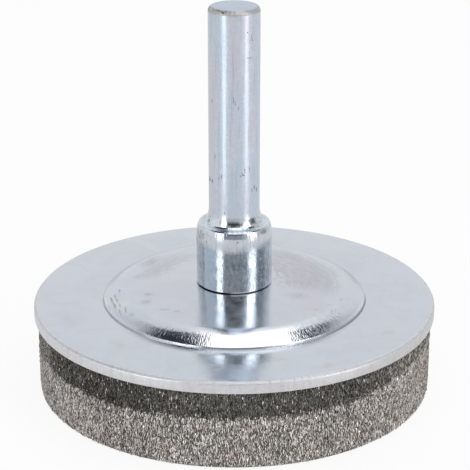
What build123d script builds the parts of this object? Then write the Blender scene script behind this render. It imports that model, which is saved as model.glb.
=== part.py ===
import os
from math import acos, asin, cos, degrees, radians, sin, sqrt, tan

from build123d import *

# Diamond sharpening bit, in millimetres. The origin is the centre of the drum's
# lower face, and +Z runs up the shank.

# Drum: a turned steel cup, open below, with bonded grit on its outer wall
drum_diameter = 49.8
drum_height = 9.8
drum_wall = 2.6
drum_web = 2.0
drum_top_edge_radius = 0.5
drum_lower_edge_radius = 0.35
drum_mouth_chamfer = 0.6
drum_inner_fillet = 1.6

# Guide plate: a round blank with a pressed raised centre
plate_diameter = 50.8
plate_thickness = 1.5
plate_upper_edge_radius = 0.4
plate_lower_edge_radius = 0.15
boss_foot_diameter = 33.4
boss_rise = 1.65
boss_inner_radius = 2.5
boss_foot_radius = 0.3
boss_cone_angle = 3.1
boss_seat_diameter = 10.4

# Arbor: shank, collar and spigot turned as one piece
shank_diameter = 6.35
shank_length = 25.15
shank_chamfer_width = 0.45
shank_chamfer_height = 0.55
flare_radius = 2.7
flare_width = 0.6
collar_diameter = 9.525
collar_height = 8.1
collar_shoulder_radius = 0.7
collar_foot_chamfer = 0.3
spigot_diameter = 6.0
rivet_head_diameter = 9.6
rivet_head_height = 1.3
rivet_head_land = 0.35

# Room left round the pieces that fit in one another
spigot_clearance = 0.05
pilot_clearance = 0.1

# The most that an edge may take of the step it is cut on
edge_share = 0.45

# Half sizes
drum_radius = drum_diameter / 2
drum_bore_radius = drum_radius - drum_wall
plate_radius = plate_diameter / 2
boss_foot_place = boss_foot_diameter / 2
boss_seat_place = boss_seat_diameter / 2
shank_radius = shank_diameter / 2
collar_radius = collar_diameter / 2
spigot_radius = spigot_diameter / 2
spigot_hole_radius = spigot_radius + spigot_clearance
rivet_head_radius = rivet_head_diameter / 2

# The collar's step in to the shank holds its round shoulder, a ring and the flare
collar_step = collar_radius - shank_radius
shoulder_radius = min(collar_shoulder_radius, edge_share * collar_step)
flare_reach = min(flare_width, edge_share * collar_step)
flare_height = sqrt(flare_radius**2 - (flare_radius - flare_reach) ** 2)

# The raised centre climbs in one S, a hollow arc at its foot and a round arc at its
# shoulder with a shared tangent. A rise past both arcs gets a straight wall. A
# shallow cone then runs on from the shoulder up to the collar's flat seat.
cone = radians(boss_cone_angle)
boss_shoulder_radius = boss_inner_radius + plate_thickness
s_radii = boss_shoulder_radius + boss_foot_radius
s_rise = boss_shoulder_radius * cos(cone) + boss_foot_radius
s_turn = acos((s_rise - min(boss_rise, s_rise)) / s_radii)
shoulder_place = boss_foot_place - s_radii * sin(s_turn)
cone_foot_place = shoulder_place + boss_shoulder_radius * sin(cone)
cone_rise = (cone_foot_place - boss_seat_place) * tan(cone)

# Places up the axis, each from the one below it
web_underside = drum_height - drum_web
plate_seat = drum_height
plate_top = plate_seat + plate_thickness
shoulder_height = plate_top + boss_rise - boss_shoulder_radius * cos(cone)
boss_top = plate_top + boss_rise + cone_rise
pilot_top = boss_top - plate_thickness
collar_top = boss_top + collar_height
flare_top = collar_top + flare_height
chamfer_foot = flare_top + shank_length
shank_top = chamfer_foot + shank_chamfer_height


def raised_side(depth, inset):
    # The raised centre at a depth under the plate's upper skin, moved in to the axis
    foot = CenterArc(
        (boss_foot_place - inset, plate_top + boss_foot_radius),
        boss_foot_radius + depth, 270, -degrees(s_turn),
    )
    shoulder = CenterArc(
        (shoulder_place - inset, shoulder_height),
        boss_shoulder_radius - depth, 90 - boss_cone_angle, boss_cone_angle - degrees(s_turn),
    )
    slope = Line(shoulder @ 0, (seat_place(depth) - inset, boss_top - depth))
    if boss_rise > s_rise:
        return [foot, Line(foot @ 1, shoulder @ 1), shoulder, slope]
    return [foot, shoulder, slope]


def seat_place(depth):
    # Where the cone meets the flat seat, at a depth under the upper skin
    return boss_seat_place - depth * tan(cone / 2)


def turned(edges):
    # A closed half outline of radius and height, turned about the vertical axis
    with BuildPart() as piece:
        with BuildSketch(Plane.XZ):
            with BuildLine():
                add(edges)
            make_face()
        revolve(axis=Axis.Z)
    return piece.part


def circles_at(part, radius, height):
    # The round edges of one radius and height, where an edge is broken
    rings = part.edges().filter_by(GeomType.CIRCLE)
    return rings.filter_by(lambda e: abs(e.radius - radius) < 1e-4 and abs(e.center().Z - height) < 1e-4)


def make_drum():
    # The pilot on the cup's upper face fills the hollow under the raised centre
    side = raised_side(plate_thickness, pilot_clearance)
    wall = Polyline(
        (boss_foot_place - pilot_clearance, plate_seat),
        (drum_radius, plate_seat),
        (drum_radius, 0),
        (drum_bore_radius, 0),
        (drum_bore_radius, web_underside),
        (spigot_hole_radius, web_underside),
        (spigot_hole_radius, pilot_top),
        (seat_place(plate_thickness) - pilot_clearance, pilot_top),
    )
    drum = turned([*side, wall])
    drum = fillet(circles_at(drum, drum_radius, plate_seat), drum_top_edge_radius)
    drum = fillet(circles_at(drum, drum_radius, 0), drum_lower_edge_radius)
    drum = fillet(circles_at(drum, drum_bore_radius, web_underside), drum_inner_fillet)
    return chamfer(circles_at(drum, drum_bore_radius, 0), drum_mouth_chamfer)


def make_guide_plate():
    rim = Polyline(
        (boss_foot_place, plate_top),
        (plate_radius, plate_top),
        (plate_radius, plate_seat),
        (boss_foot_place, plate_seat),
    )
    centre = Polyline(
        (seat_place(plate_thickness), pilot_top),
        (spigot_hole_radius, pilot_top),
        (spigot_hole_radius, boss_top),
        (boss_seat_place, boss_top),
    )
    upper_side = raised_side(0, 0)
    lower_side = raised_side(plate_thickness, 0)
    plate = turned([rim, *upper_side, centre, *lower_side])
    plate = fillet(circles_at(plate, plate_radius, plate_top), plate_upper_edge_radius)
    return fillet(circles_at(plate, plate_radius, plate_seat), plate_lower_edge_radius)


def make_arbor():
    # The spigot's end is spread into a domed head under the cup's web
    head_low = web_underside - rivet_head_height
    dome_height = rivet_head_height - rivet_head_land
    dome_radius = (rivet_head_radius**2 + dome_height**2) / (2 * dome_height)
    dome_turn = degrees(asin(rivet_head_radius / dome_radius))
    dome = CenterArc((0, head_low + dome_radius), dome_radius, 270, dome_turn)
    lower = Polyline(
        dome @ 1,
        (rivet_head_radius, web_underside),
        (spigot_radius, web_underside),
        (spigot_radius, boss_top),
        (collar_radius - collar_foot_chamfer, boss_top),
        (collar_radius, boss_top + collar_foot_chamfer),
        (collar_radius, collar_top - shoulder_radius),
    )
    shoulder_centre = (collar_radius - shoulder_radius, collar_top - shoulder_radius)
    shoulder = CenterArc(shoulder_centre, shoulder_radius, 0, 90)
    flare_turn = degrees(asin(flare_height / flare_radius))
    flare = CenterArc((shank_radius + flare_radius, flare_top), flare_radius, 180, flare_turn)
    ring = Line(shoulder @ 1, flare @ 1)
    upper = Polyline(
        (shank_radius, flare_top),
        (shank_radius, chamfer_foot),
        (shank_radius - shank_chamfer_width, shank_top),
        (0, shank_top),
        (0, head_low),
    )
    return turned([dome, lower, shoulder, ring, flare, upper])


pieces = {
    "diamond_drum": make_drum(),
    "guide_plate": make_guide_plate(),
    "arbor": make_arbor(),
}

os.makedirs("parts", exist_ok=True)
for name, piece in pieces.items():
    piece.label = name
    export_step(piece, f"parts/{name}.step")
    print(name, "volume", round(piece.volume, 1), "box", piece.bounding_box())
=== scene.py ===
import math

import bpy
import numpy as np
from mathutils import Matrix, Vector


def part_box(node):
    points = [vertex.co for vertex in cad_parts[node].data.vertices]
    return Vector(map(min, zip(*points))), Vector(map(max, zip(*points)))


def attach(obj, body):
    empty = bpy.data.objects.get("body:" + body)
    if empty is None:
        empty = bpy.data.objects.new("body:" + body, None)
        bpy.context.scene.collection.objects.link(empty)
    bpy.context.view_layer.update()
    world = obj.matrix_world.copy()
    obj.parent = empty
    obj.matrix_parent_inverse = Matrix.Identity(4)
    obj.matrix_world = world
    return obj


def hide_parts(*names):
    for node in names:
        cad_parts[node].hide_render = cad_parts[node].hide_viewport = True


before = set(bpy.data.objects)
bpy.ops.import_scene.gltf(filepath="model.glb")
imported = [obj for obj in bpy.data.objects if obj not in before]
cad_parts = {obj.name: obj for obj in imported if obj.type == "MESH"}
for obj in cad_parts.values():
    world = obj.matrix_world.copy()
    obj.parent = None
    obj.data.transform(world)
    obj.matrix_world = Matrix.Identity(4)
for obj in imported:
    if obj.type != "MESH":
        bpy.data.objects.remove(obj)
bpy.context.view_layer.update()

mm = 0.001
bpy.context.scene.view_settings.view_transform = "Standard"

# reaches that the pieces share, in mm, read off the CAD frame
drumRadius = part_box("diamond_drum")[1].x / mm
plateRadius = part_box("guide_plate")[1].x / mm
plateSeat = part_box("guide_plate")[0].z / mm
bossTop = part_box("guide_plate")[1].z / mm
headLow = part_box("arbor")[0].z / mm
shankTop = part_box("arbor")[1].z / mm


# outlines are lists of (radius, height) in mm, turned about Z by lathe()

def arc(centre, radius, start, turn, steps):
    angles = [math.radians(start + turn * k / steps) for k in range(steps + 1)]
    return [(centre[0] + radius * math.cos(a), centre[1] + radius * math.sin(a)) for a in angles]


def soften(points, radius):
    # rounds each corner by a small radius and holds the flats beside it with a support point
    out = [points[0]]
    for before, corner, after in zip(points, points[1:], points[2:]):
        here = Vector(corner)
        back = Vector(before) - here
        ahead = Vector(after) - here
        if back.length < 1e-6 or ahead.length < 1e-6:
            continue
        if math.pi - back.angle(ahead) < math.radians(20):
            out.append(corner)
            continue
        a = here + back.normalized() * min(radius, 0.3 * back.length)
        b = here + ahead.normalized() * min(radius, 0.3 * ahead.length)
        if back.length > 4 * radius:
            out.append(tuple(here + back.normalized() * 2 * radius))
        for t in (0, 0.25, 0.5, 0.75, 1):
            out.append(tuple(a * (1 - t) ** 2 + here * (2 * t * (1 - t)) + b * t * t))
        if ahead.length > 4 * radius:
            out.append(tuple(here + ahead.normalized() * 2 * radius))
    return out + [points[-1]]


def split(points, step, closed=False):
    # adds points on long straight runs, so that a wobble has something to move
    out = []
    for a, b in zip(points, points[1:] + (points[:1] if closed else [])):
        parts = max(1, math.ceil(math.dist(a, b) / step))
        out += [(a[0] + (b[0] - a[0]) * k / parts, a[1] + (b[1] - a[1]) * k / parts) for k in range(parts)]
    return out if closed else out + [points[-1]]


def addObject(name, data):
    obj = bpy.data.objects.new(name, data)
    bpy.context.scene.collection.objects.link(obj)
    return obj


def meshObject(name, verts, faces, smooth=True):
    mesh = bpy.data.meshes.new(name)
    mesh.from_pydata(verts.tolist(), [], faces)
    mesh.polygons.foreach_set("use_smooth", np.full(len(mesh.polygons), smooth))
    mesh.update()
    return addObject(name, mesh)


def lathe(name, outline, segments, closed=False, wobble=None):
    angles = np.linspace(0, 2 * math.pi, segments, endpoint=False)
    verts, rings = [], []
    for radius, height in outline:
        if radius < 1e-6:
            rings.append([len(verts)] * segments)
            verts.append((0, 0, height))
        else:
            rings.append(list(range(len(verts), len(verts) + segments)))
            verts += [(radius * math.cos(a), radius * math.sin(a), height) for a in angles]
    if closed:
        rings.append(rings[0])
    faces = []
    for low, high in zip(rings, rings[1:]):
        for k in range(segments):
            n = (k + 1) % segments
            face = [low[k], low[n], high[n], high[k]]
            faces.append(list(dict.fromkeys(face)))
    points = np.array(verts, float)
    if wobble:
        points = wobble(points)
    return meshObject(name, points * mm, faces)


def waves(angle, seed, harmonics, fade=1.0):
    # a smooth closed wobble round the axis, between about -1 and 1
    rng = np.random.default_rng(seed)
    total = np.zeros_like(angle)
    for k in harmonics:
        total += rng.normal() * np.cos(k * angle + rng.uniform(0, 2 * math.pi)) / k**fade
    return total / math.sqrt(len(harmonics))


# shader helpers

def addNode(tree, kind, sockets=None, **settings):
    node = tree.nodes.new("ShaderNode" + kind)
    for key, value in settings.items():
        setattr(node, key, value)
    feed(node, sockets or {})
    return node


def feed(node, sockets):
    # links each term and sets each plain value; a colour comes without its alpha
    for key, value in sockets.items():
        socket = node.inputs[key]
        if isinstance(value, Term):
            value.tree.links.new(value.socket, socket)
        elif socket.type == "RGBA":
            socket.default_value = (*value, 1.0)
        else:
            socket.default_value = value


def put(tree, kind, sockets=None, out=0, **settings):
    return Term(tree, addNode(tree, kind, sockets, **settings).outputs[out])


class Term:
    # an output in a node tree, with the arithmetic that the looks are written in

    def __init__(self, tree, socket):
        self.tree = tree
        self.socket = socket

    def put(self, kind, sockets, out=0, **settings):
        return put(self.tree, kind, sockets, out, **settings)

    # numbers

    def maths(self, operation, other=0.0, clamp=False):
        return self.put("Math", {0: self, 1: other}, operation=operation, use_clamp=clamp)

    def __mul__(self, other):
        return self.maths("MULTIPLY", other)

    def __add__(self, other):
        return self.maths("ADD", other)

    def __sub__(self, other):
        return self.maths("SUBTRACT", other)

    def __rsub__(self, other):
        return self.put("Math", {0: other, 1: self}, operation="SUBTRACT")

    def __abs__(self):
        return self.maths("ABSOLUTE")

    def atLeast(self, other):
        return self.maths("MAXIMUM", other)

    def between(self, low, high, outLow=0.0, outHigh=1.0):
        # smooth step from low to high
        sockets = {"Value": self, "From Min": low, "From Max": high, "To Min": outLow, "To Max": outHigh}
        return self.put("MapRange", sockets, "Result", interpolation_type="SMOOTHSTEP")

    def window(self, low, high, soft):
        # 1 between low and high with soft ends
        return self.between(low - soft, low + soft) * self.between(high - soft, high + soft, 1.0, 0.0)

    # colours

    def grey(self):
        return self.put("CombineXYZ", {"X": self, "Y": self, "Z": self})

    def blend(self, a, b):
        # a where this is 0, b where it is 1
        return self.put("Mix", {0: self, 6: a, 7: b}, 2, data_type="RGBA")

    def tinted(self, *layers):
        # each layer: mask, strength and colour
        colour = self
        for mask, strength, target in layers:
            colour = (mask * strength).blend(colour, target)
        return colour

    # places

    def parts(self):
        return [Term(self.tree, out) for out in addNode(self.tree, "SeparateXYZ", {0: self}).outputs]

    def vector(self, operation, other=(0.0, 0.0, 0.0)):
        return self.put("VectorMath", {0: self, 1: other}, operation=operation)

    def scaled(self, factor):
        return self.put("VectorMath", {0: self, "Scale": factor}, operation="SCALE")

    def flat(self):
        return self.vector("MULTIPLY", (1.0, 1.0, 0.0))

    def length(self):
        return self.put("VectorMath", {0: self}, "Value", operation="LENGTH")

    def stretched(self, scale, turn=0.0):
        sockets = {"Vector": self, "Scale": scale, "Rotation": (0.0, 0.0, math.radians(turn))}
        return self.put("Mapping", sockets)

    def roundAxis(self, alongCircle, alongSide=0.0):
        # noise coordinates that run round the axis and down the turned side, with no seam
        flat = self.flat()
        ring = flat.vector("NORMALIZE").scaled(alongCircle)
        side = (flat.length() - self.parts()[2]) * alongSide
        return ring.vector("ADD", self.put("CombineXYZ", {"Z": side}))

    def ragged(self, scale, reach):
        # the point shifted by a small noise, so that marks have broken edges
        shift = self.put("TexNoise", {"Vector": self, "Scale": scale, "Detail": 3.0}, "Color")
        return self.vector("ADD", shift.vector("SUBTRACT", (0.5, 0.5, 0.5)).scaled(2 * reach))

    def noise(self, scale, detail=3.0, roughness=0.5, distortion=0.0):
        sockets = {"Vector": self, "Scale": scale, "Detail": detail, "Roughness": roughness,
                   "Distortion": distortion}
        return self.put("TexNoise", sockets, "Fac")

    def strokes(self, marks, core=0.45):
        # 1 inside any of the marks: centre, half sizes and turn about Z, in mm and degrees
        mask = None
        for centre, half, turn in marks:
            sockets = {"Vector": self, "Location": centre, "Scale": half,
                       "Rotation": (0, 0, math.radians(turn))}
            here = self.put("Mapping", sockets, vector_type="TEXTURE").length().between(1.0, core)
            mask = here if mask is None else mask.atLeast(here)
        return mask


def turnOf(x, y):
    # the turn about Z from the front toward +X, in radians
    return x.maths("ARCTAN2", y * -1.0)


def onObject(tree):
    # the point on the object in mm, its radius and turn, and its x, y and z
    spot = put(tree, "TexCoord", out="Object").scaled(1 / mm)
    x, y, z = spot.parts()
    return spot, spot.flat().length(), turnOf(x, y), x, y, z


def roughened(rough, *layers):
    # each layer: mask and what it adds
    for k, (mask, more) in enumerate(layers):
        rough = rough.maths("ADD", mask * more, clamp=k == len(layers) - 1)
    return rough


def relief(*layers):
    # each layer: height and its depth in mm
    normal = None
    for height, depth in layers:
        sockets = {"Height": height, "Strength": 1.0, "Distance": depth * mm}
        if normal:
            sockets["Normal"] = normal
        normal = height.put("Bump", sockets, "Normal")
    return normal


def marksOf(rows, deep):
    # marks from rows of x, y, z, half sizes in x and y, and turn, all with one half height
    return [(row[:3], (*row[3:5], deep), row[5]) for row in rows]


def onShaft(turn, height, radius):
    # a place on a cylinder, by the turn from the front toward +X
    a = math.radians(turn)
    return (radius * math.sin(a), -radius * math.cos(a), height)


def emptyTree(owner):
    owner.use_nodes = True
    owner.node_tree.nodes.clear()
    return owner.node_tree


def newMaterial(name):
    material = bpy.data.materials.new(name)
    tree = emptyTree(material)
    shader = addNode(tree, "BsdfPrincipled")
    addNode(tree, "OutputMaterial", {"Surface": Term(tree, shader.outputs[0])})
    return material, tree, shader


# guide plate, a pressed and zinc-plated blank

plateForm = {
    "thickness": 1.5,
    "upperEdge": 0.4,
    "lowerEdge": 0.15,
    "bossFoot": 16.7,
    "cone": 3.2,  # fall of the raised centre from the collar to its shoulder, in degrees
    "seat": 5.2,
    "shoulder": 4.2,
    "foot": 0.05,
    "knee": 0.6,  # the tighter bend between the shoulder and the steep foot
    "kneeFrom": 45.0,
    "steep": 80.0,
    "innerReach": 13.5,              # where the cone of the underside ends
    "innerShoulder": 2.5,
    "innerFoot": 1.8,
    "hole": 3.05,
    "segments": 360,
    "flatnessError": 0.012,
    "ringCrown": 0.12,
}
plateTop = plateSeat + plateForm["thickness"]


def bend(start, slopes, radius, steps=10):
    # follows a bend outward from a point, the slope going from one angle to another
    a, b = (math.radians(v) for v in slopes)
    side = 1 if b > a else -1
    out = []
    for k in range(1, steps + 1):
        s = a + (b - a) * k / steps
        across = side * radius * (math.sin(s) - math.sin(a))
        down = side * radius * (math.cos(a) - math.cos(s))
        out.append((start[0] + across, start[1] - down))
    return out


def upperSkin():
    # from the middle outward: seat, shallow cone, shoulder, knee and foot
    f = plateForm
    skin = [(f["hole"], bossTop), (f["seat"] - 0.8, bossTop)]
    skin += bend(skin[-1], (0, f["cone"]), 1.6 / math.sin(math.radians(f["cone"])), 6)
    side = bend((0.0, 0.0), (f["cone"], f["kneeFrom"]), f["shoulder"], 14)
    side += bend(side[-1], (f["kneeFrom"], f["steep"]), f["knee"], 6)
    side += bend(side[-1], (f["steep"], 0), f["foot"], 5)
    reach, drop = side[-1]
    top = (f["bossFoot"] - reach, plateTop - drop)
    return skin + [top] + [(top[0] + r, top[1] + z) for r, z in side]


def lowerSkin(inset=0.0, steps=10):
    # the same sheet seen from below, for the plate's underside and the drum's pilot
    f = plateForm
    radii = f["innerShoulder"] + f["innerFoot"]
    low = bossTop - f["thickness"]
    coneLow = low - (f["innerReach"] - f["seat"]) * math.tan(math.radians(f["cone"]))
    turn = math.degrees(math.acos(1 - (coneLow - plateSeat) / radii))
    reach = radii * math.sin(math.radians(turn))
    side = [(f["seat"] - inset, low), (f["bossFoot"] - inset - reach, coneLow)]
    shoulder = bend(side[-1], (0, turn), f["innerShoulder"], steps)
    foot = bend(shoulder[-1], (turn, 0), f["innerFoot"], steps)
    return side + shoulder + foot


def plateOutline():
    f = plateForm
    upper = arc((plateRadius - f["upperEdge"], plateTop - f["upperEdge"]), f["upperEdge"], 0, 90, 6)
    lower = arc((plateRadius - f["lowerEdge"], plateSeat + f["lowerEdge"]), f["lowerEdge"], 270, 90, 4)
    inside = [(f["hole"], bossTop - f["thickness"])] + lowerSkin()
    return split(lower + upper + upperSkin()[::-1] + inside, 0.8, closed=True)


def plateWobble(points):
    foot = plateForm["bossFoot"]
    angle = np.arctan2(points[:, 1], points[:, 0])
    radius = np.hypot(points[:, 0], points[:, 1])
    out = np.clip((radius - 5) / (plateRadius - 5), 0, 1)
    points[:, 2] += plateForm["flatnessError"] * out * waves(angle, 3, range(2, 9), 0.6)
    # the pressed ring is crowned a little between the foot and the rim
    ring = np.clip((radius - foot) / (plateRadius - 0.6 - foot), 0, 1)
    crown = np.interp(ring, (0, 0.08, 0.25, 0.42, 1), (0, 0.45, 0.98, 1, 0))
    skin = points[:, 2] > plateSeat + 0.8
    points[:, 2] += skin * plateForm["ringCrown"] * crown
    return points


# arbor: shank, flare, collar and the spread head, one turned piece

arborForm = {
    "shankRadius": 3.175,
    "chamferWidth": 0.45,
    "chamferHeight": 0.55,
    "endFullness": 1.25,  # the end is rounded over, a little fuller than a straight chamfer
    "flareRadius": 2.7,
    "flareWidth": 0.6,
    "flareLean": 26.0,  # the flare ends in a short cone of this lean
    "collarRadius": 4.7625,
    "collarHeight": 8.1,
    "collarFoot": 0.14,
    "taperFrom": 19.0,  # the collar draws in by a hair from here up
    "taper": 3.0,
    "lean": 28.0,
    "leanBend": 2.2,
    "topBend": 0.35,
    "spigotRadius": 3.0,
    "headRadius": 4.8,
    "headHeight": 1.3,
    "headLand": 0.35,
    "edge": 0.05,
    "segments": 256,
}
collarTop = bossTop + arborForm["collarHeight"]
flareBend = arborForm["flareRadius"]
flareLean = math.radians(arborForm["flareLean"])
coneWidth = arborForm["flareWidth"] - flareBend * (1 - math.cos(flareLean))
flareTop = collarTop + flareBend * math.sin(flareLean) + coneWidth / math.tan(flareLean)


def climb(start, leans, radius, steps):
    # follows a wall upward from a point as it leans in, from one angle off the vertical to another
    a, b = (math.radians(v) for v in leans)
    out = []
    for k in range(1, steps + 1):
        lean = a + (b - a) * k / steps
        rise = radius * (math.sin(lean) - math.sin(a))
        inward = radius * (math.cos(a) - math.cos(lean))
        out.append((start[0] - inward, start[1] + rise))
    return out


def collarShoulder():
    f = arborForm
    taper = math.radians(f["taper"])
    lean = math.radians(f["lean"])
    rise = f["leanBend"] * (math.sin(lean) - math.sin(taper)) + f["topBend"] * (1 - math.sin(lean))
    taperBend = (collarTop - rise - f["taperFrom"]) / math.sin(taper)
    wall = climb((f["collarRadius"], f["taperFrom"]), (0, f["taper"]), taperBend, 4)
    wall += climb(wall[-1], (f["taper"], f["lean"]), f["leanBend"], 10)
    return wall + climb(wall[-1], (f["lean"], 90), f["topBend"], 7)


def arborOutline():
    f = arborForm
    webUnderside = headLow + f["headHeight"]
    domeHeight = f["headHeight"] - f["headLand"]
    domeRadius = (f["headRadius"] ** 2 + domeHeight**2) / (2 * domeHeight)
    domeTurn = math.degrees(math.asin(f["headRadius"] / domeRadius))
    dome = arc((0, headLow + domeRadius), domeRadius, 270, domeTurn, 14)
    dome[0] = (0, headLow)
    body = [
        (f["headRadius"], webUnderside),
        (f["spigotRadius"], webUnderside),
        (f["spigotRadius"], bossTop),
        (f["collarRadius"] - f["collarFoot"], bossTop),
        (f["collarRadius"], bossTop + f["collarFoot"]),
        (f["collarRadius"], f["taperFrom"]),
    ]
    flareCentre = (f["shankRadius"] + flareBend, flareTop)
    flare = [(f["shankRadius"] + f["flareWidth"], collarTop)]
    flare += arc(flareCentre, flareBend, 180 + f["flareLean"], -f["flareLean"], 12)
    end = []
    for turn in range(0, 91, 9):
        out = math.cos(math.radians(turn)) ** f["endFullness"]
        up = math.sin(math.radians(turn)) ** f["endFullness"]
        end.append((f["shankRadius"] - f["chamferWidth"] * (1 - out),
                    shankTop - f["chamferHeight"] * (1 - up)))
    lower = soften(dome + body, f["edge"])
    return split(lower + collarShoulder() + flare + end + [(0, shankTop)], 0.6)


# drum: the turned cup that carries the grit

drumForm = {
    "wall": 2.6,
    "web": 2.0,
    "topEdge": 0.5,
    "lowerEdge": 0.35,
    "mouthChamfer": 0.6,
    "innerFillet": 1.6,
    "pilotGap": 0.1,
    "hole": 3.05,
    "edge": 0.06,
    "segments": 480,
    "bondDepth": 0.13,
    "bondLumps": 0.022,
    "lowerBuild": 0.06,  # nickel stands fuller round the lower edge
}


def drumOutline():
    f = drumForm
    bond = drumRadius - f["bondDepth"]
    bore = drumRadius - f["wall"]
    under = plateSeat - f["web"]
    full = bond + f["lowerBuild"]
    lower = arc((full - f["lowerEdge"], f["lowerEdge"]), f["lowerEdge"], 270, 90, 5)
    upper = arc((bond - f["topEdge"], plateSeat - f["topEdge"]), f["topEdge"], 0, 90, 5)
    wall = split([lower[-1], (bond, 0.8), upper[0]], 0.16)
    pilot = lowerSkin(f["pilotGap"], 5)[::-1]
    corner = arc((bore - f["innerFillet"], under - f["innerFillet"]), f["innerFillet"], 90, -90, 8)
    mouth = [(bore, f["mouthChamfer"]), (bore + f["mouthChamfer"], 0)]
    top = [(f["hole"], bossTop - plateForm["thickness"]), (f["hole"], under)]
    rest = soften(pilot[-1:] + top + corner[:1], f["edge"])
    mouthSoft = soften([corner[-1]] + mouth + [lower[0]], f["edge"])
    return lower[:-1] + wall + upper[1:] + pilot + rest[1:] + corner[1:] + mouthSoft[1:-1]


def drumLumps(points):
    # nickel builds up unevenly between the grains
    rng = np.random.default_rng(11)
    radius = np.hypot(points[:, 0], points[:, 1])
    outer = radius > drumRadius - drumForm["bondDepth"] - 0.02
    outer = outer * np.interp(points[:, 2], (0.3, 0.9), (0.4, 1.0))
    lump = rng.normal(0, drumForm["bondLumps"], len(points)) * outer
    points[:, :2] *= (1 + lump / np.maximum(radius, 1e-3))[:, None]
    return points


# grit: one faceted grain after another over the drum's wall

gritForm = {
    "pitch": (0.145, 0.262),         # from grain to grain round the drum and up it
    "grainSize": (0.098, 0.022),     # half width and its spread
    "upright": (0.62, 2.2),          # grains stand taller than they are wide
    "sink": 0.055,                   # how far a grain's middle lies under the grit's mean height
    "bandFoot": 6.48,                # lower edge of the band under the plate that is painted in shade
    "bandRise": 1.9,                 # the band narrows toward the right
    "bandBack": 0.3,                 # what is left of that rise at the back
    "bandDip": 0.42,                 # and hangs a little lower at the left
    "bandWander": 0.05,
    "bandSink": 0.04,
    "strips": 3,
}


def bandEdge(angle):
    # the lower edge of the band painted in shade climbs toward the right and wanders a little
    f = gritForm
    turn = np.degrees(np.arctan2(np.cos(angle), -np.sin(angle)))
    back = f["bandBack"]
    rise = np.interp(turn, (-180, -90, 0, 30, 75, 90, 180), (back, 0, 0.03, 0.12, 1, 1, back))
    dip = f["bandDip"] * np.interp(turn, (-150, -90, -35, -12), (0, 1, 1, 0))
    wander = f["bandWander"] * waves(angle, 21, range(5, 40, 3), 0.2)
    return f["bandFoot"] + f["bandRise"] * rise - dip + wander


def grainPlaces(rng):
    low, high = 0.17, plateSeat - 0.12
    across, up = gritForm["pitch"]
    rows = int((high - low) / up)
    perRow = int(2 * math.pi * drumRadius / across)
    row, col = np.meshgrid(np.arange(rows), np.arange(perRow), indexing="ij")
    height = low + (row + 0.5) * (high - low) / rows + rng.uniform(-0.45, 0.45, row.shape) * up
    turn = (col + 0.5 * (row % 2) + rng.uniform(-0.45, 0.45, row.shape)) * 2 * math.pi / perRow
    return turn.ravel(), np.clip(height.ravel(), low, high)


def randomTurns(rng, count):
    # rotation matrices spread evenly over all directions
    q = rng.normal(size=(count, 4))
    w, x, y, z = (q / np.linalg.norm(q, axis=1, keepdims=True)).T
    rows = [
        [1 - 2 * (y * y + z * z), 2 * (x * y - z * w), 2 * (x * z + y * w)],
        [2 * (x * y + z * w), 1 - 2 * (x * x + z * z), 2 * (y * z - x * w)],
        [2 * (x * z - y * w), 2 * (y * z + x * w), 1 - 2 * (x * x + y * y)],
    ]
    return np.array(rows).transpose(2, 0, 1)


def buildGrit():
    f = gritForm
    rng = np.random.default_rng(5)
    angle, height = grainPlaces(rng)
    count = len(angle)
    shadeBand = height > bandEdge(angle)
    corners = np.array([(x, y, z) for x in (-1, 1) for y in (-1, 1) for z in (-1, 1)], float)
    sides = np.array([(0, 1, 3), (0, 3, 2), (4, 6, 7), (4, 7, 5), (0, 4, 5), (0, 5, 1),
                      (2, 3, 7), (2, 7, 6), (0, 2, 6), (0, 6, 4), (1, 5, 7), (1, 7, 3)])
    size = np.clip(rng.normal(*f["grainSize"], count), 0.045, 0.16)
    size *= np.interp(height, (0.17, 0.9), (0.72, 1.0))
    stretch = rng.uniform(0.7, 1.25, (count, 1, 3))
    shape = corners[None] * 0.68 * stretch * (1 + rng.normal(0, 0.16, (count, 8, 3)))
    shape = np.einsum("nij,nkj->nki", randomTurns(rng, count), shape) * size[:, None, None]
    along = np.stack([-np.sin(angle), np.cos(angle), np.zeros(count)], -1)
    narrow = (shape @ along[:, :, None])[..., 0] * (f["upright"][0] - 1)
    shape += narrow[..., None] * along[:, None]
    shape[..., 2] *= f["upright"][1]
    depth = f["sink"] + rng.normal(0, 0.01, count) + f["bandSink"] * shadeBand
    depth += np.interp(height, (0.17, 0.6), (0.03, 0.0))
    middle = drumRadius - np.clip(depth, 0.03, 0.16)
    centre = np.stack([middle * np.cos(angle), middle * np.sin(angle), height], -1)
    points = shape + centre[:, None]
    points[..., 2] = np.clip(points[..., 2], 0.03, plateSeat - 0.01)
    made = []
    for strip, chosen in enumerate(np.array_split(np.argsort(angle, kind="stable"), f["strips"])):
        tris = (np.arange(len(chosen))[:, None, None] * 8 + sides[None]).reshape(-1, 3)
        corner = points[chosen].reshape(-1, 3) * mm
        made.append(meshObject(f"grit_{strip + 1}", corner, tris.tolist(), smooth=False))
    return made


# finishes; a window is its low end, high end and softness, over a radius or height in mm or a turn in radians

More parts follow.
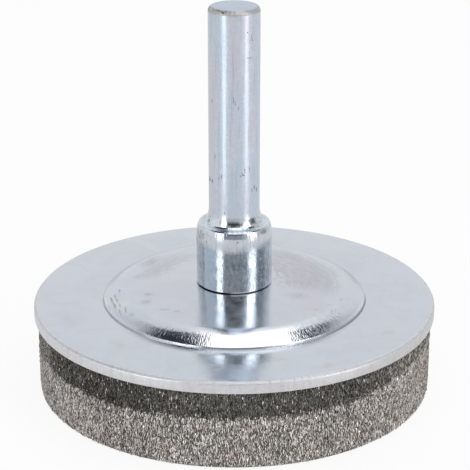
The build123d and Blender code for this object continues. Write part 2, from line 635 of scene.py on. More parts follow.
plateFinish = {
    "zinc": (0.585, 0.625, 0.685),
    "zincWorn": (0.575, 0.592, 0.648),
    "zincSoft": (0.55, 0.58, 0.64),
    "smudge": (0.44, 0.445, 0.5),
    "blush": (0.6, 0.52, 0.585),
    "stain": (0.5, 0.47, 0.46),
    "scrape": (0.7, 0.7, 0.68),
    "grey": (0.3, 0.3, 0.33),
    "dirt": (0.17, 0.17, 0.155),
    "seam": (0.03, 0.03, 0.035),
    "paintedHighlight": (0.87, 0.88, 0.9),  # painted highlight on the front of the shoulder, also just inside the foot
    "shaded": (0.2, 0.21, 0.25),
    "creaseShade": (0.26, 0.26, 0.28),
    "footPaleHighlight": (0.95, 0.97, 1.0),
    "footShade": (0.5, 0.51, 0.55),
    "far": (0.86, 0.88, 0.93),
    "cutEdge": (0.775, 0.765, 0.77),
    "cutPale": (0.86, 0.86, 0.89),
    "sheared": (0.56, 0.55, 0.53),
    "speckle": (0.58, 0.56, 0.53),
    "burr": (0.8, 0.79, 0.78),
    "bite": (0.34, 0.32, 0.3),
    "roughness": (0.11, 0.2),
    # windows over the radius
    "creaseLine": (16.58, 16.78, 0.05),
    "footLine": (16.6, 16.78, 0.03),
    "overFoot": (16.32, 16.61, 0.05),
    "backEdge": (15.9, 16.8, 0.2),
    "shadedEdge": (16.12, 16.56, 0.06),
    "highlightEdge": (14.7, 16.7, 0.35),
    "dimpled": (13.9, 16.75, 0.25),
    "farEdge": (15.2, 16.9, 0.3),
    # windows over the turn
    "unpaintedFront": (-0.45, 0.5, 0.05),
    "glints": (0.24, 0.7, 0.07),
    "shadedLeft": (-0.66, -0.32, 0.05),
    "shadedRight": (0.56, 0.86, 0.05),
    "highlightFront": (-0.32, 0.52, 0.1),
    # windows over radius and turn
    "cloudRight": ((6.2, 12.9, 1.0), (1.32, 2.75, 0.25)),
    "cloudLeft": ((9.6, 12.4, 0.9), (-2.6, -1.75, 0.2)),
    # marks on the raised centre: x, y, z, half sizes in x and y, and turn about Z
    "smudges": (
        (-10.8, 7.4, 13.0, 2.6, 3.0, -20), (-10.8, 3.2, 13.0, 0.7, 3.4, -11), (-12.0, 2.4, 13.0, 1.8, 1.6, 0),
        (-10.5, -3.8, 13.0, 1.1, 1.0, 0), (-10.9, -6.2, 13.0, 0.8, 1.2, 0), (-7.2, -9.0, 13.0, 0.7, 0.5, 0),
        (-8.7, -8.5, 13.0, 1.1, 0.4, 0), (7.8, -4.6, 13.0, 2.6, 1.6, 20),
    ),
    "blushes": (
        (-8.7, 8.5, 13.0, 2.1, 1.8, 0), (8.2, 4.8, 13.0, 2.6, 5.6, -16), (8.8, -4.4, 13.0, 2.2, 2.0, 0),
        (10.4, -7.8, 13.0, 3.0, 2.4, 0),
    ),
    "scratches": (
        (-15.34, -3.79, 12.3, 0.16, 1.45, 13), (-14.82, -5.62, 12.3, 0.17, 1.3, 13),
        (-14.96, -3.13, 12.5, 0.12, 0.9, 11), (-14.62, -4.45, 12.5, 0.13, 0.9, 13),
        (-14.16, -5.92, 12.6, 0.1, 0.7, 14), (-14.07, -7.35, 12.4, 0.12, 0.95, 14),
        (-13.37, -7.44, 12.7, 0.1, 1.05, 7), (-14.47, -1.9, 12.9, 0.15, 0.6, 4),
        (-15.55, -5.2, 12.1, 0.09, 1.1, 15), (-15.15, -7.1, 12.1, 0.09, 0.9, 18),
    ),
    "greys": (
        (-12.53, -8.82, 12.6, 0.34, 0.85, 34), (-14.47, -2.6, 12.9, 0.1, 0.9, 4),
        (9.93, -8.35, 12.9, 0.26, 0.4, 37), (11.99, -8.85, 12.7, 0.19, 0.42, 74),
        (12.38, -8.18, 12.7, 0.13, 0.81, -1), (11.98, -8.38, 12.7, 0.24, 0.36, 23),
        (11.81, -6.79, 12.9, 0.18, 0.71, 87), (13.3, -5.05, 12.5, 0.3, 0.79, -30),
    ),
    "scrapes": (
        (-14.95, -4.62, 12.4, 0.15, 0.57, 16), (-14.44, -5.49, 12.5, 0.15, 0.38, 17),
        (-14.46, -6.27, 12.3, 0.12, 0.73, 12), (-13.84, -6.58, 12.5, 0.12, 0.72, 9),
        (-16.14, -2.9, 12.0, 0.1, 1.1, 8), (-15.69, -3.29, 12.1, 0.09, 1.3, 9),
        (-13.58, -5.79, 12.9, 0.9, 1.0, 23),
    ),
    "stains": (
        (11.1, -20.7, 11.4, 3.2, 1.1, 24), (-13.6, -15.2, 11.4, 1.8, 1.2, -30),
        (4.5, -19.5, 11.4, 2.6, 0.9, 8), (-20.2, -8.0, 11.4, 1.1, 2.6, 20), (18.6, -12.0, 11.4, 1.6, 1.0, 50),
    ),
}


def platedSheet():
    f = plateFinish
    material, tree, shader = newMaterial("plated_sheet")
    spot, radius, turn, _, depth, height = onObject(tree)
    aside = abs(turn)
    up = put(tree, "NewGeometry", out="Normal").parts()[2]

    # painted shade and light round the raised centre: a dark crease line at the front and again at the sides,
    # a painted highlight between them, on the shoulder's front and just inside the foot, pale and grey paint
    # on the foot, and painted dark reflections beside the front
    back = depth.between(-2.0, 1.0)
    unpaintedFront = turn.window(*f["unpaintedFront"]) * spot.noise(1.3, 3).between(0.34, 0.52, 0.35, 1.0)
    glints = aside.window(*f["glints"]).between(0.0, 1.0, 1.0, 0.1)
    # painted shade along the crease at the foot, at the front and at the sides
    creaseShade = radius.window(*f["creaseLine"]) * depth.between(4.0, -4.0) * glints
    # the foot painted pale on the left and grey on the right, and left clear at the front
    foot = radius.window(*f["footLine"]) * (1.0 - unpaintedFront) * (1.0 - back)
    overFoot = radius.window(*f["overFoot"]) * aside.between(0.8, 0.95)
    overFoot = overFoot.atLeast(radius.window(*f["backEdge"]) * back)
    shaded = turn.window(*f["shadedLeft"]) + turn.window(*f["shadedRight"]) * 0.15
    shaded = shaded * radius.window(*f["shadedEdge"])
    paintedHighlight = radius.window(*f["highlightEdge"]) * turn.window(*f["highlightFront"])
    seam = radius.between(4.93, 4.82) * turn.between(0.9, -0.5, 0.45, 1.0)
    seam = seam * height.between(13.0, 13.2) * aside.between(1.35, 1.05)

    # smudges, scratches and clouds wiped round the collar, with finer arcs in them
    cloud = spot.noise(0.22, 5, 0.62, 0.6)
    broad = spot.noise(0.22, 6, 0.66, 0.8).between(0.4, 0.66)
    ragged = spot.ragged(0.5, 0.9)
    grain = spot.stretched((0.9, 0.55, 0.7), -35).noise(1.0, 7, 0.72, 0.8)
    wipes = spot.roundAxis(5.0, 1.5).noise(1.0, 6, 0.72, 0.5)
    cloudEdge = radius + wipes.between(0.3, 0.7, -1.2, 1.2)
    wiped, wipedLeft = (cloudEdge.window(*away) * turn.window(*way)
                        for away, way in (f["cloudRight"], f["cloudLeft"]))
    wiped = wiped.atLeast(wipedLeft * 0.75) * wipes.between(0.34, 0.6, 0.5, 1.0)
    smear = ragged.strokes(marksOf(f["smudges"], 3.0), 0.0) * grain.between(0.38, 0.6, 0.4, 1.0)
    smear = smear.atLeast(wiped)
    blush = ragged.strokes(marksOf(f["blushes"], 3.0), 0.0) * grain.between(0.62, 0.38, 0.2, 1.0)
    stain = ragged.strokes(marksOf(f["stains"], 3.0), 0.0) * grain.between(0.36, 0.66, 0.2, 1.0)
    wisp = spot.stretched((0.35, 1.1, 0.5), 28).noise(1.0, 4, 0.6, 2.6).window(0.485, 0.515, 0.02)
    wisp = wisp * cloud.between(0.42, 0.66)
    dust = spot.noise(1.7, 5, 0.7).between(0.6, 0.78)
    fine = spot.ragged(2.4, 0.1)
    broken = spot.noise(2.0, 3)
    scrape = fine.strokes(marksOf(f["scrapes"], 2.0)) * broken.between(0.66, 0.42, 0.3, 1.0)
    greys = fine.strokes(marksOf(f["greys"], 2.0), 0.1)
    scratch = fine.strokes(marksOf(f["scratches"], 2.0), 0.55) * broken.between(0.38, 0.54, 0.35, 1.0)

    # the blank's cut edge, sheared and speckled, with a bitten burr over it
    rim = radius.between(plateRadius - 0.1, plateRadius - 0.04) * up.between(0.75, 0.45)
    burr = radius.window(plateRadius - 0.42, plateRadius - 0.02, 0.06) * up.between(0.3, 0.6)
    cut = turn.between(0.2, 0.9).blend(f["cutPale"], f["cutEdge"])
    sheared = rim * spot.roundAxis(30.0).noise(1.0, 5, 0.65).between(0.42, 0.66)
    speckled = rim * spot.noise(2.2, 5, 0.7).between(0.4, 0.66)
    bitten = burr * spot.roundAxis(60.0).noise(1.0, 3, 0.6).between(0.55, 0.66)

    wornAndShaded = radius.between(14.6, 12.6) * cloud.between(0.3, 0.62, 0.35, 1.0)
    colour = wornAndShaded.blend(f["zinc"], f["zincWorn"]).tinted(
        (broad, 0.55, f["zincSoft"]),
        (smear, 0.9, f["smudge"]),
        (blush, 0.4, f["blush"]),
        (stain, 0.55, f["stain"]),
        (wisp, 0.16, f["smudge"]),
        (dust, 0.25, f["smudge"]),
        (scrape, 0.5, f["scrape"]),
        (greys, 0.34, f["grey"]),
        (scratch, 0.52, f["dirt"]),
        (rim, 0.85, cut),
        (sheared, 0.26, f["sheared"]),
        (speckled, 0.34, f["speckle"]),
        (burr, 0.45, f["burr"]),
        (bitten, 0.32, f["bite"]),
        (paintedHighlight, 0.9, f["paintedHighlight"]),
        (overFoot, 0.26, f["paintedHighlight"]),
        (shaded, 0.4, f["shaded"]),
        (foot, 0.5, turn.between(-0.2, 0.2).blend(f["footPaleHighlight"], f["footShade"])),
        (creaseShade, 0.42, f["creaseShade"]),
        (seam, 1.0, f["seam"]),
    )
    # the far side of the raised centre is seen at a grazing angle and stays blue there
    far = radius.window(*f["farEdge"]) * depth.between(0.0, 3.0)
    rough = spot.noise(0.8, 5, 0.6).between(0.3, 0.75, *f["roughness"])
    rough = roughened(rough, (smear, 0.1), (rim, 0.25), (burr, 0.42), (foot, 0.5), (seam, 0.5), (far, 0.12))

    # fine peel, pressed dimples over the shoulder, hairlines, a nicked edge
    flanks = turn.between(0.32, 0.5, 0.12, 1.4) + turn.between(-0.12, -0.26, 0.0, 0.88)
    dimples = spot.roundAxis(92.0, 1.6).noise(1.0, 0.7, 0.5, 0.15)
    hairs = spot.stretched((9.0, 0.25, 1.0), 25).noise(1.0, 2)
    hairs = hairs + spot.stretched((0.22, 8.0, 1.0), 12).noise(1.0, 2)
    normal = relief(
        (spot.noise(7.0, 4, 0.6), 0.005),
        (dimples * (radius.window(*f["dimpled"]) * flanks), 0.028),
        (hairs, 0.0035),
        (spot.roundAxis(85.0).noise(1.0, 3, 0.6) * burr, 0.03),
        (spot.roundAxis(110.0).noise(1.0, 3, 0.55) * rim, 0.008),
    )
    feed(shader, {"Base Color": colour, "Metallic": 1.0, "Roughness": rough, "Normal": normal,
                  "Specular Tint": far.blend((1.0, 1.0, 1.0), f["far"])})
    return material


arborFinish = {
    "collarZinc": (0.7, 0.78, 0.85),
    "collarPale": (0.82, 0.88, 0.93),
    "shankZinc": (0.64, 0.69, 0.785),
    "shankPale": (0.725, 0.755, 0.84),
    "shankCool": (0.595, 0.705, 0.81),
    "shankWarm": (0.69, 0.675, 0.775),
    "brow": (0.655, 0.68, 0.735),
    "blue": (0.5, 0.7, 0.84),
    "sea": (0.75, 0.88, 1.0),
    "frond": (0.06, 0.12, 0.15),
    "line": (0.08, 0.11, 0.17),
    "endFace": (0.41, 0.51, 0.595),
    "endBloom": (0.465, 0.525, 0.66),
    "streak": (0.2, 0.25, 0.29),
    "pit": (0.07, 0.065, 0.06),
    "speck": (0.22, 0.2, 0.19),
    "patch": (0.16, 0.17, 0.13),
    "rust": (0.13, 0.09, 0.07),
    "dull": (0.49, 0.48, 0.46),
    "footShade": (0.1, 0.1, 0.11),
    "footHighlight": (0.95, 0.96, 0.98),
    "flareDarkReflection": (0.09, 0.1, 0.135),
    "flareHighlight": (0.88, 0.94, 1.0),
    "roll": (0.3, 0.37, 0.44),
    "collarDarkReflection": (0.24, 0.29, 0.42),
    "ledgeShade": (0.12, 0.14, 0.16),
    "shankRoughness": 0.24,
    "collarRoughness": 0.06,
    # windows over the turn
    "blueTurn": (-0.86, -0.56, 0.04),
    "seaTurn": (0.66, 0.92, 0.04),
    "frondTurn": (0.66, 0.92, 0.06),
    "frondFront": (0.14, 0.32, 0.07),
    "lineTurn": (-0.98, -0.9, 0.03),
    "flareMiddle": (-0.27, 0.2, 0.04),
    "flareRight": (0.54, 0.86, 0.09),
    "darkReflectionTurn": (-0.26, 0.3, 0.05),
    "ledgeTurn": (-1.0, 1.1, 0.2),
    "footHighlightTurn": (-0.1, 0.42, 0.06),
    # windows over the height, and over the height above the collar's top
    "browHeight": (18.8, 21.2, 0.2),
    "darkReflectionHeight": (20.62, 21.34, 0.06),
    "middleAbove": (0.64, 0.96, 0.1),
    "rightAbove": (0.52, 1.12, 0.14),
    "paleAbove": (1.02, 1.4, 0.12),
    "rollAbove": (-0.2, 0.03, 0.03),
    "ledgeAbove": (-0.06, 0.12, 0.03),
    "lipAbove": (-0.03, 0.1, 0.02),
    # turn from the front, height, half width and half height of each mark
    "marks": (
        (42.6, 45.18, 0.15, 0.17), (41.0, 45.6, 0.08, 0.6), (35.6, 45.06, 0.07, 0.34),
        (30.4, 46.23, 0.12, 0.12), (34.9, 43.13, 0.42, 0.08), (41.0, 43.08, 0.12, 0.12),
        (-57.2, 37.52, 0.14, 0.36), (-1.6, 37.95, 0.08, 0.7), (2.5, 37.7, 0.07, 0.5),
        (9.7, 37.06, 0.13, 0.28), (24.4, 28.99, 0.1, 0.42), (18.5, 28.64, 0.12, 0.3),
        (13.9, 28.41, 0.09, 0.22), (21.5, 28.45, 0.22, 0.1), (35.9, 29.14, 0.1, 0.5),
        (-36.1, 27.97, 0.14, 0.4), (-29.5, 28.17, 0.12, 0.5), (-70.8, 27.32, 0.3, 0.55),
        (-57.6, 27.28, 0.2, 0.45), (51.7, 26.59, 0.15, 0.4), (43.4, 26.32, 0.12, 0.4),
        (59.8, 26.2, 0.18, 0.45), (-21.6, 23.48, 0.12, 0.3), (-48, 30.6, 0.1, 0.6),
    ),
    "collarMarks": (
        (-46.3, 19.91, 0.12, 0.24), (5.2, 20.34, 0.14, 0.26), (-54.5, 20.56, 0.18, 0.2),
        (30, 19.6, 0.1, 0.18), (-8, 17.9, 0.2, 0.1), (21, 17.1, 0.22, 0.08),
    ),
    # centre, half sizes and turn of two bigger pits, and of the pitted patch on the collar's shoulder
    "bigPits": (
        (onShaft(-64, collarTop + 0.55, 3.55), (0.28, 0.28, 0.42), 0),
        (onShaft(53, 21.0, 4.5), (0.75, 0.5, 0.36), 53),
    ),
    "patches": (
        (onShaft(-66, 20.4, 4.7), (1.1, 1.6, 0.9), 0),
        (onShaft(-84, 19.2, 4.7), (1.0, 1.6, 0.9), 0),
    ),
}


def turnedSteel():
    f = arborFinish
    material, tree, shader = newMaterial("turned_steel")
    spot, radius, turn, x, _, height = onObject(tree)
    onShank = height.between(flareTop - 1.3, flareTop - 0.2)
    offShank = 1.0 - onShank
    below = height.between(20.0, 18.6)
    above = height - collarTop

    # mottled zinc, bluer and warmer in turn up the shank, dark streaks on the collar
    mottle = spot.noise(1.6, 6, 0.65)
    pale = mottle.between(0.35, 0.68)
    brow = height.window(*f["browHeight"])
    drawn = spot.roundAxis(26.0, 0.25).noise(1.0, 2, 0.55)
    film = spot.stretched((0.55, 0.55, 0.1)).noise(1.0, 2, 0.5)
    collar = pale.blend(f["collarZinc"], f["collarPale"]).tinted(
        (brow, 0.6, f["brow"]),
        (brow * drawn.between(0.5, 0.66), 0.18, f["streak"]),
    )
    shank = pale.blend(f["shankZinc"], f["shankPale"]).tinted(
        (film.between(0.5, 0.36), 0.75, f["shankCool"]),
        (film.between(0.5, 0.64), 0.75, f["shankWarm"]),
    )
    # the streaks thin out on the brow and over a smooth blue band left of the front
    blue = turn.window(*f["blueTurn"])
    lines = spot.stretched((4.5, 4.5, 1.6)).noise(1.0, 5, 0.7, 0.8).between(0.46, 0.6)
    streaks = offShank * lines * (1.0 - (brow * 0.75).atLeast(blue * 0.85))
    drawnShank = onShank * spot.stretched((4.5, 4.5, 0.16)).noise(1.0, 3, 0.55).between(0.52, 0.74)
    # blue-green mottle that thickens on the collar's right
    frond = spot.stretched((3.2, 3.2, 1.5)).noise(1.0, 6, 0.75, 1.6).window(0.45, 0.54, 0.02)
    frond = frond * (turn.window(*f["frondTurn"]) + turn.window(*f["frondFront"]) * 0.5) * below
    line = turn.window(*f["lineTurn"]) + turn.between(-0.95, -1.02) * 0.6

    # pits, a pitted patch on the collar's shoulder, brown dots round the end's upper edge
    ragged = spot.ragged(3.0, 0.12)
    pitted = [(onShaft(t, z, arborForm["shankRadius"]), (w, w, h), 0) for t, z, w, h in f["marks"]]
    pitted += [(onShaft(t, z, 4.76), (w, w, h), 0) for t, z, w, h in f["collarMarks"]]
    pits = ragged.strokes(pitted + list(f["bigPits"]))
    pits = pits * spot.noise(6.5, 3, 0.6, 0.8).between(0.32, 0.5)
    patch = ragged.strokes(f["patches"]) * spot.noise(4.5, 4, 0.7).between(0.46, 0.58)
    speck = spot.noise(3.4, 4, 0.7).between(0.68, 0.76)
    onEnd = height.window(shankTop - 0.62, shankTop - 0.015, 0.03)
    rusty = spot.noise(3.1, 3, 0.6).between(0.5, 0.62) * height.window(shankTop - 0.4, shankTop - 0.02, 0.1)
    rusty = rusty * x.between(0.9, -0.5, 0.12, 1.0)
    endFace = height.between(shankTop - 0.03, shankTop - 0.005)
    endTone = spot.noise(0.45, 4, 0.6).between(0.35, 0.65).blend(f["endFace"], f["endBloom"])

    # the collar's foot: painted shade round it, and a painted highlight at the front
    footTop = turn.between(0.6, -0.1, 0.06, 0.2)
    footShade = (height - bossTop).between(footTop, footTop - 0.05)
    footShade = footShade * abs(turn - 0.17).between(0.2, 0.32, 0.15, 1.0)
    footHighlight = height.window(bossTop + 0.03, bossTop + 0.24, 0.02) * turn.window(*f["footHighlightTurn"])
    # the flare: a painted dark reflection between its two lights, a painted highlight above it, and another
    # painted dark reflection on the right
    middle = turn.window(*f["flareMiddle"])
    flareDarkReflection = middle * above.window(*f["middleAbove"]) * 0.58
    flareDarkReflection = flareDarkReflection + above.window(*f["rightAbove"]) * turn.window(*f["flareRight"])
    flareDarkReflection = flareDarkReflection * drawn.between(0.38, 0.58, 0.7, 1.0)
    flareHighlight = middle * above.window(*f["paleAbove"])
    roll = above.window(*f["rollAbove"])
    # painted dark reflection on the front of the collar's upper part
    collarDarkReflection = height.window(*f["darkReflectionHeight"]) * turn.window(*f["darkReflectionTurn"])
    collarDarkReflection = collarDarkReflection * drawn.between(0.6, 0.42, 0.45, 1.0)
    # painted shade on the front of the ledge round the flare's foot
    ledgeShade = radius.window(3.7, 4.12, 0.06) * above.window(*f["ledgeAbove"]) * turn.window(*f["ledgeTurn"])

    colour = onShank.blend(collar, shank).tinted(
        (streaks, 0.52, f["streak"]),
        (blue * below, 0.35, f["blue"]),
        (turn.window(*f["seaTurn"]) * below, 0.6, f["sea"]),
        (frond, 0.85, f["frond"]),
        (line * below, 0.32, f["line"]),
        (drawnShank, 0.3, f["streak"]),
        (pits, 0.58, f["pit"]),
        (speck, 0.5, f["speck"]),
        (patch, 0.6, f["patch"]),
        (onEnd, 0.75, f["dull"]),
        (rusty, 0.85, f["rust"]),
        (footShade, 0.6, f["footShade"]),
        (footHighlight, 0.9, f["footHighlight"]),
        (flareDarkReflection, 0.9, f["flareDarkReflection"]),
        (flareHighlight, 0.8, f["flareHighlight"]),
        (roll, 0.22, f["roll"]),
        (collarDarkReflection, 0.6, f["collarDarkReflection"]),
        (ledgeShade, 0.12, f["ledgeShade"]),
        (endFace, 1.0, endTone),
    )
    rough = height.between(flareTop - 0.9, flareTop - 0.1, f["collarRoughness"], f["shankRoughness"])
    rough = rough + mottle.between(0.35, 0.75, 0.0, 0.06)
    rough = roughened(rough, (streaks, 0.05), (onEnd, 0.25), (above.window(*f["lipAbove"]), 0.2),
                      (patch, 0.3), (footHighlight, 0.5), (pits, 0.3))

    # drawn grain up the shank, a rippled mottle on the collar, ticks over its shoulder
    ticks = spot.roundAxis(24.0, 0.35).noise(1.0, 1, 0.5) * height.window(19.8, collarTop + 0.2, 0.6)
    normal = relief(
        (spot.stretched((6.0, 6.0, 0.9)).noise(1.0, 4, 0.6), 0.008),
        (spot.stretched((3.8, 3.8, 0.5)).noise(1.0, 3, 0.5) * below, 0.01),
        (ticks, 0.026),
        (spot.noise(8.0, 3) * offShank, 0.004),
        (patch * -1.0, 0.03),
    )
    feed(shader, {"Base Color": colour, "Metallic": 1.0, "Roughness": rough, "Normal": normal})
    return material


gritFinish = {
    "grainPale": (0.97, 0.905, 0.86),
    "grainDark": (0.16, 0.15, 0.138),
    "pink": (0.75, 0.55, 0.53),
    "shadePale": (0.26, 0.25, 0.225),
    "shadeDark": (0.035, 0.033, 0.027),
    # centre, half sizes and turn of each pinker patch near the front
    "pinkPatches": (
        (onShaft(-1.6, 1.7, drumRadius), (3.0, 2.0, 1.3), 0),
        (onShaft(-18.3, 2.6, drumRadius), (1.8, 2.0, 1.0), -18),
    ),
    "sparkle": 0.05,
    "edgeShade": 0.62,  # painted shade: rows seen at a grazing angle are darkened, as grain hides behind grain
    "roughness": (0.2, 0.5),
}


def gritGrains():
    f = gritFinish
    material, tree, shader = newMaterial("diamond_grit")
    spot, _, turn, _, _, height = onObject(tree)
    chance = put(tree, "NewGeometry", out="Random Per Island")
    other = (chance * 37.0).maths("FRACT")
    third = (chance * 911.0).maths("FRACT")

    # the band under the plate, painted in shade: darker, faint at the left, its edge softened grain by grain
    low, rise, left, dip = (gritForm[name] for name in ("bandFoot", "bandRise", "bandBack", "bandDip"))
    edge = turn.between(0.4, 1.5, low, low + rise)
    edge = edge + turn.between(1.6, 3.1, 0.0, (left - 1) * rise)
    edge = edge + turn.between(-1.6, -3.1, 0.0, left * rise)
    edge = edge - turn.between(-0.2, -0.6, 0.0, dip)
    edge = edge + turn.between(-1.6, -2.6, 0.0, dip)
    edge = edge + spot.noise(0.9, 3).between(0.3, 0.7, -0.09, 0.09)
    edge = edge + third.between(0.0, 1.0, -0.24, 0.24)
    faint = turn.between(-1.05, -1.19) * turn.between(-2.4, -1.6)
    sparkle = other.between(0.995 - f["sparkle"], 1.0 - f["sparkle"])
    shadeBand = (height - edge).between(-0.05, 0.05) * faint.between(0.0, 1.0, 1.0, 0.55)
    shadeBand = shadeBand * turn.between(0.35, 1.15, 1.0, 0.55) * turn.between(-1.9, -3.1, 1.0, 0.55)
    shadeBand = shadeBand * sparkle.between(0.0, 1.0, 1.0, 0.12)

    spread = chance.maths("POWER", 0.85)
    flush = spot.noise(0.16, 3).between(0.52, 0.68, 0.0, 0.5)
    flush = flush.atLeast(spot.ragged(0.6, 0.8).strokes(f["pinkPatches"], 0.2))
    litGrains = spread.blend(f["grainDark"], f["grainPale"]).tinted((flush, 0.14, f["pink"]))
    # painted shade in the band under the plate, a little darker toward the left
    wornAndShaded = spread.blend(f["shadeDark"], f["shadePale"]).tinted((turn.between(-0.2, -0.6), 0.2, f["shadeDark"]))
    # brighter in patches and toward the bottom; painted light toward the front and painted shade toward the
    # sides, where the wall is seen at a grazing angle
    patch = spot.noise(0.5, 4, 0.6).between(0.3, 0.7, 0.86, 1.1) * height.between(2.4, 0.6, 1.0, 1.1)
    outward = spot.flat().vector("NORMALIZE")
    facing = put(tree, "LayerWeight", {"Blend": 0.5, "Normal": outward}, "Facing")
    shade = patch * facing.between(0.02, 0.36, 1.44, 1.02) * facing.between(0.45, 1.0, 1.0, f["edgeShade"])
    feed(shader, {"Base Color": shadeBand.blend(litGrains, wornAndShaded).scaled(shade), "Metallic": 0.6,
                  "Roughness": other.between(0.0, 1.0, *f["roughness"][::-1])})
    return material


bondFinish = {
    "outside": ((0.1, 0.095, 0.09), (0.22, 0.21, 0.2)),
    "inside": ((0.42, 0.41, 0.4), (0.5, 0.49, 0.47)),
    "roughness": (0.5, 0.34),
}


def nickelBond():
    f = bondFinish
    material, tree, shader = newMaterial("nickel_bond")
    spot, radius, *_ = onObject(tree)
    inside = radius.between(drumRadius - 0.5, drumRadius - 0.7)
    blotch = spot.noise(3.0, 4)
    colour = inside.blend(blotch.blend(*f["outside"]), blotch.blend(*f["inside"]))
    rough = inside.between(0.0, 1.0, *f["roughness"])
    feed(shader, {"Base Color": colour, "Metallic": 0.8, "Roughness": rough})
    return material


def dress(obj, material, node=None):
    obj.data.materials.clear()
    obj.data.materials.append(material)
    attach(obj, "root")
    if node:
        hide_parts(node)


plate = lathe("guide_plate_dressed", plateOutline(), plateForm["segments"], True, plateWobble)
dress(plate, platedSheet(), "guide_plate")
print("guide plate made")

arbor = lathe("arbor_dressed", arborOutline(), arborForm["segments"])
dress(arbor, turnedSteel(), "arbor")
print("arbor made")

drum = lathe("drum_cup", drumOutline(), drumForm["segments"], True, drumLumps)
dress(drum, nickelBond(), "diamond_drum")
gritMaterial = gritGrains()
for strip in buildGrit():
    dress(strip, gritMaterial)
print("drum and grit made")


# studio

studio = {
    "lens": 126.8,
    "cameraAt": (0.0001, -0.19448, 0.09401),
    "aimAt": (0.0001, 0.0, 0.01951),
    "floorHalf": 3.0,
    "floorTone": 0.7,
    "floorGloss": 0.08,
    "floorGlow": 0.9,
    "floorWhite": 0.95,
    "laneGlow": 2.5,
    "worldLevel": 0.95,
    "leftLevel": 0.8,
    "rightLevel": (0.6, 0.7),  # beside the right strip, and beyond it
    "darkFront": (0.42, 0.06),  # the camera's side, at eye level and above
    "darkCeiling": (0.05, 0.056, 0.075),
    "behindLevel": (1.35, 1.35, 1.36),
    "keyLevel": 1.35,
    "keyCentre": (0.155, 0.188, 1.06),
    "keySize": (0.685, 1.92),
    "keyTilt": 50,
    # azimuth and elevation of each panel, its width and height, and its level
    "panels": {
        "strip_left": (-44, 25.8, 0.17, 0.153, 2.2),
        "strip_right": (56, 26.5, 0.23, 0.137, 2.53),
        "strip_left_low": (-44, 8.8, 0.17, 0.206, 1.15),
        "strip_right_low": (59.3, 9.6, 0.163, 0.222, 1.3225),
    },
    "panelDistance": 0.6,
    "panelLift": 0.015,
}


def addCamera():
    data = bpy.data.cameras.new("camera")
    data.lens = studio["lens"]
    data.sensor_width = 36.0
    data.clip_start, data.clip_end = 0.01, 20
    camera = addObject("camera", data)
    camera.location = studio["cameraAt"]
    aim = Vector(studio["aimAt"]) - camera.location
    camera.rotation_euler = aim.to_track_quat("-Z", "Y").to_euler()
    bpy.context.scene.camera = camera


def addSoftBox(name, width, height, level, place, turn):
    # level is how bright its face looks
    data = bpy.data.lights.new(name, "AREA")
    data.shape = "RECTANGLE"
    data.size, data.size_y = width, height
    data.energy = level * math.pi * width * height
    lamp = addObject(name, data)
    lamp.location = place
    lamp.rotation_euler = turn


def addLamps():
    # one long soft box from over the camera to past the top, leaning to the object
    tilt = (math.radians(studio["keyTilt"]), 0, 0)
    addSoftBox("key_above", *studio["keySize"], studio["keyLevel"], studio["keyCentre"], tilt)
    for name, (azimuth, elevation, width, height, level) in studio["panels"].items():
        a, e = math.radians(azimuth), math.radians(elevation)
        toward = Vector((math.sin(a) * math.cos(e), -math.cos(a) * math.cos(e), math.sin(e)))
        place = toward * studio["panelDistance"] + Vector((0, 0, studio["panelLift"]))
        addSoftBox(name, width, height, level, place, toward.to_track_quat("Z", "Y").to_euler())


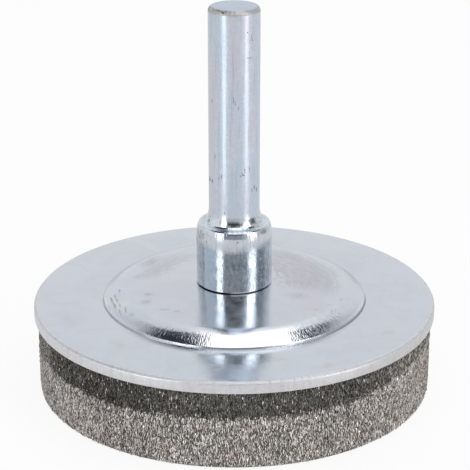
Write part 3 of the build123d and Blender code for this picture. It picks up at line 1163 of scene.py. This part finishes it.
def addWorld():
    # walls by direction: azimuth from the camera's side toward +X, height as a sine
    world = bpy.data.worlds.new("studio")
    bpy.context.scene.world = world
    tree = emptyTree(world)
    x, y, z = put(tree, "TexCoord", out="Generated").parts()
    azimuth = turnOf(x, y)
    left = azimuth.window(-2.35, -1.0, 0.15)
    right = azimuth.window(1.14, 2.3, 0.1)
    front = azimuth.window(-0.6, 0.75, 0.06) * z.between(0.66, 0.58)
    dark = z.between(0.4, 0.47, *studio["darkFront"]) * azimuth.between(0.2, 0.64, 1.0, 1.6)
    behind = abs(azimuth).between(2.1, 2.5)
    shown = behind * z.between(0.52, 0.88) * x.window(-0.09, 0.24, 0.06)
    lift = azimuth.window(-1.75, 1.6, 0.22) * 0.17 + right * 0.08 - behind * 0.13
    ceiling = (z + lift).between(0.74, 0.82)
    light = left.blend((studio["worldLevel"],) * 3, (studio["leftLevel"],) * 3)
    light = right.blend(light, azimuth.between(1.66, 2.0, *studio["rightLevel"]).grey())
    light = front.blend(light, dark.grey())
    light = shown.blend(light, studio["behindLevel"])
    light = ceiling.blend(light, studio["darkCeiling"])
    seen = put(tree, "LightPath", out="Is Camera Ray")
    back = put(tree, "Background", {"Color": seen.blend(light, (1.0, 1.0, 1.0)), "Strength": 1.0})
    addNode(tree, "OutputWorld", {"Surface": back})


def addFloor():
    half = studio["floorHalf"]
    corners = np.array([(-half, -half, 0), (half, -half, 0), (half, half, 0), (-half, half, 0)], float)
    floor = meshObject("floor", corners, [[0, 1, 2, 3]])
    material = bpy.data.materials.new("paper")
    tree = emptyTree(material)
    seen = put(tree, "LightPath", out="Is Camera Ray")
    paper = seen.blend((studio["floorTone"],) * 3, (studio["floorWhite"],) * 3)
    matte = put(tree, "BsdfDiffuse", {"Color": paper})
    sheen = put(tree, "BsdfGlossy", {"Color": (1.0, 1.0, 1.0), "Roughness": 0.12})
    top = put(tree, "MixShader", {0: (1.0 - seen) * studio["floorGloss"], 1: matte, 2: sheen})
    # two glowing lanes on the paper under the strips, a painted reflection of them such as a satin table
    # shows
    spot, _, azimuth, *_ = onObject(tree)
    stripReflections = azimuth.window(0.83, 1.11, 0.06) * 0.75 + azimuth.window(-0.9, -0.64, 0.06)
    stripReflections = stripReflections * spot.length().between(60.0, 90.0)
    tone = stripReflections.between(0.0, 1.0, studio["floorGlow"], studio["laneGlow"]).grey()
    white = put(tree, "Emission", {"Color": seen.blend(tone, (1.0, 1.0, 1.0)), "Strength": 1.0})
    mix = put(tree, "MixShader", {0: seen.between(0.0, 1.0, 0.5, 0.89), 1: top, 2: white})
    # from below the paper is clear, so that the underside can be looked at
    under = seen * put(tree, "NewGeometry", out="Backfacing")
    mix = put(tree, "MixShader", {0: under, 1: mix, 2: put(tree, "BsdfTransparent")})
    addNode(tree, "OutputMaterial", {"Surface": mix})
    floor.data.materials.append(material)


addCamera()
addWorld()
addFloor()
addLamps()
print("studio made")
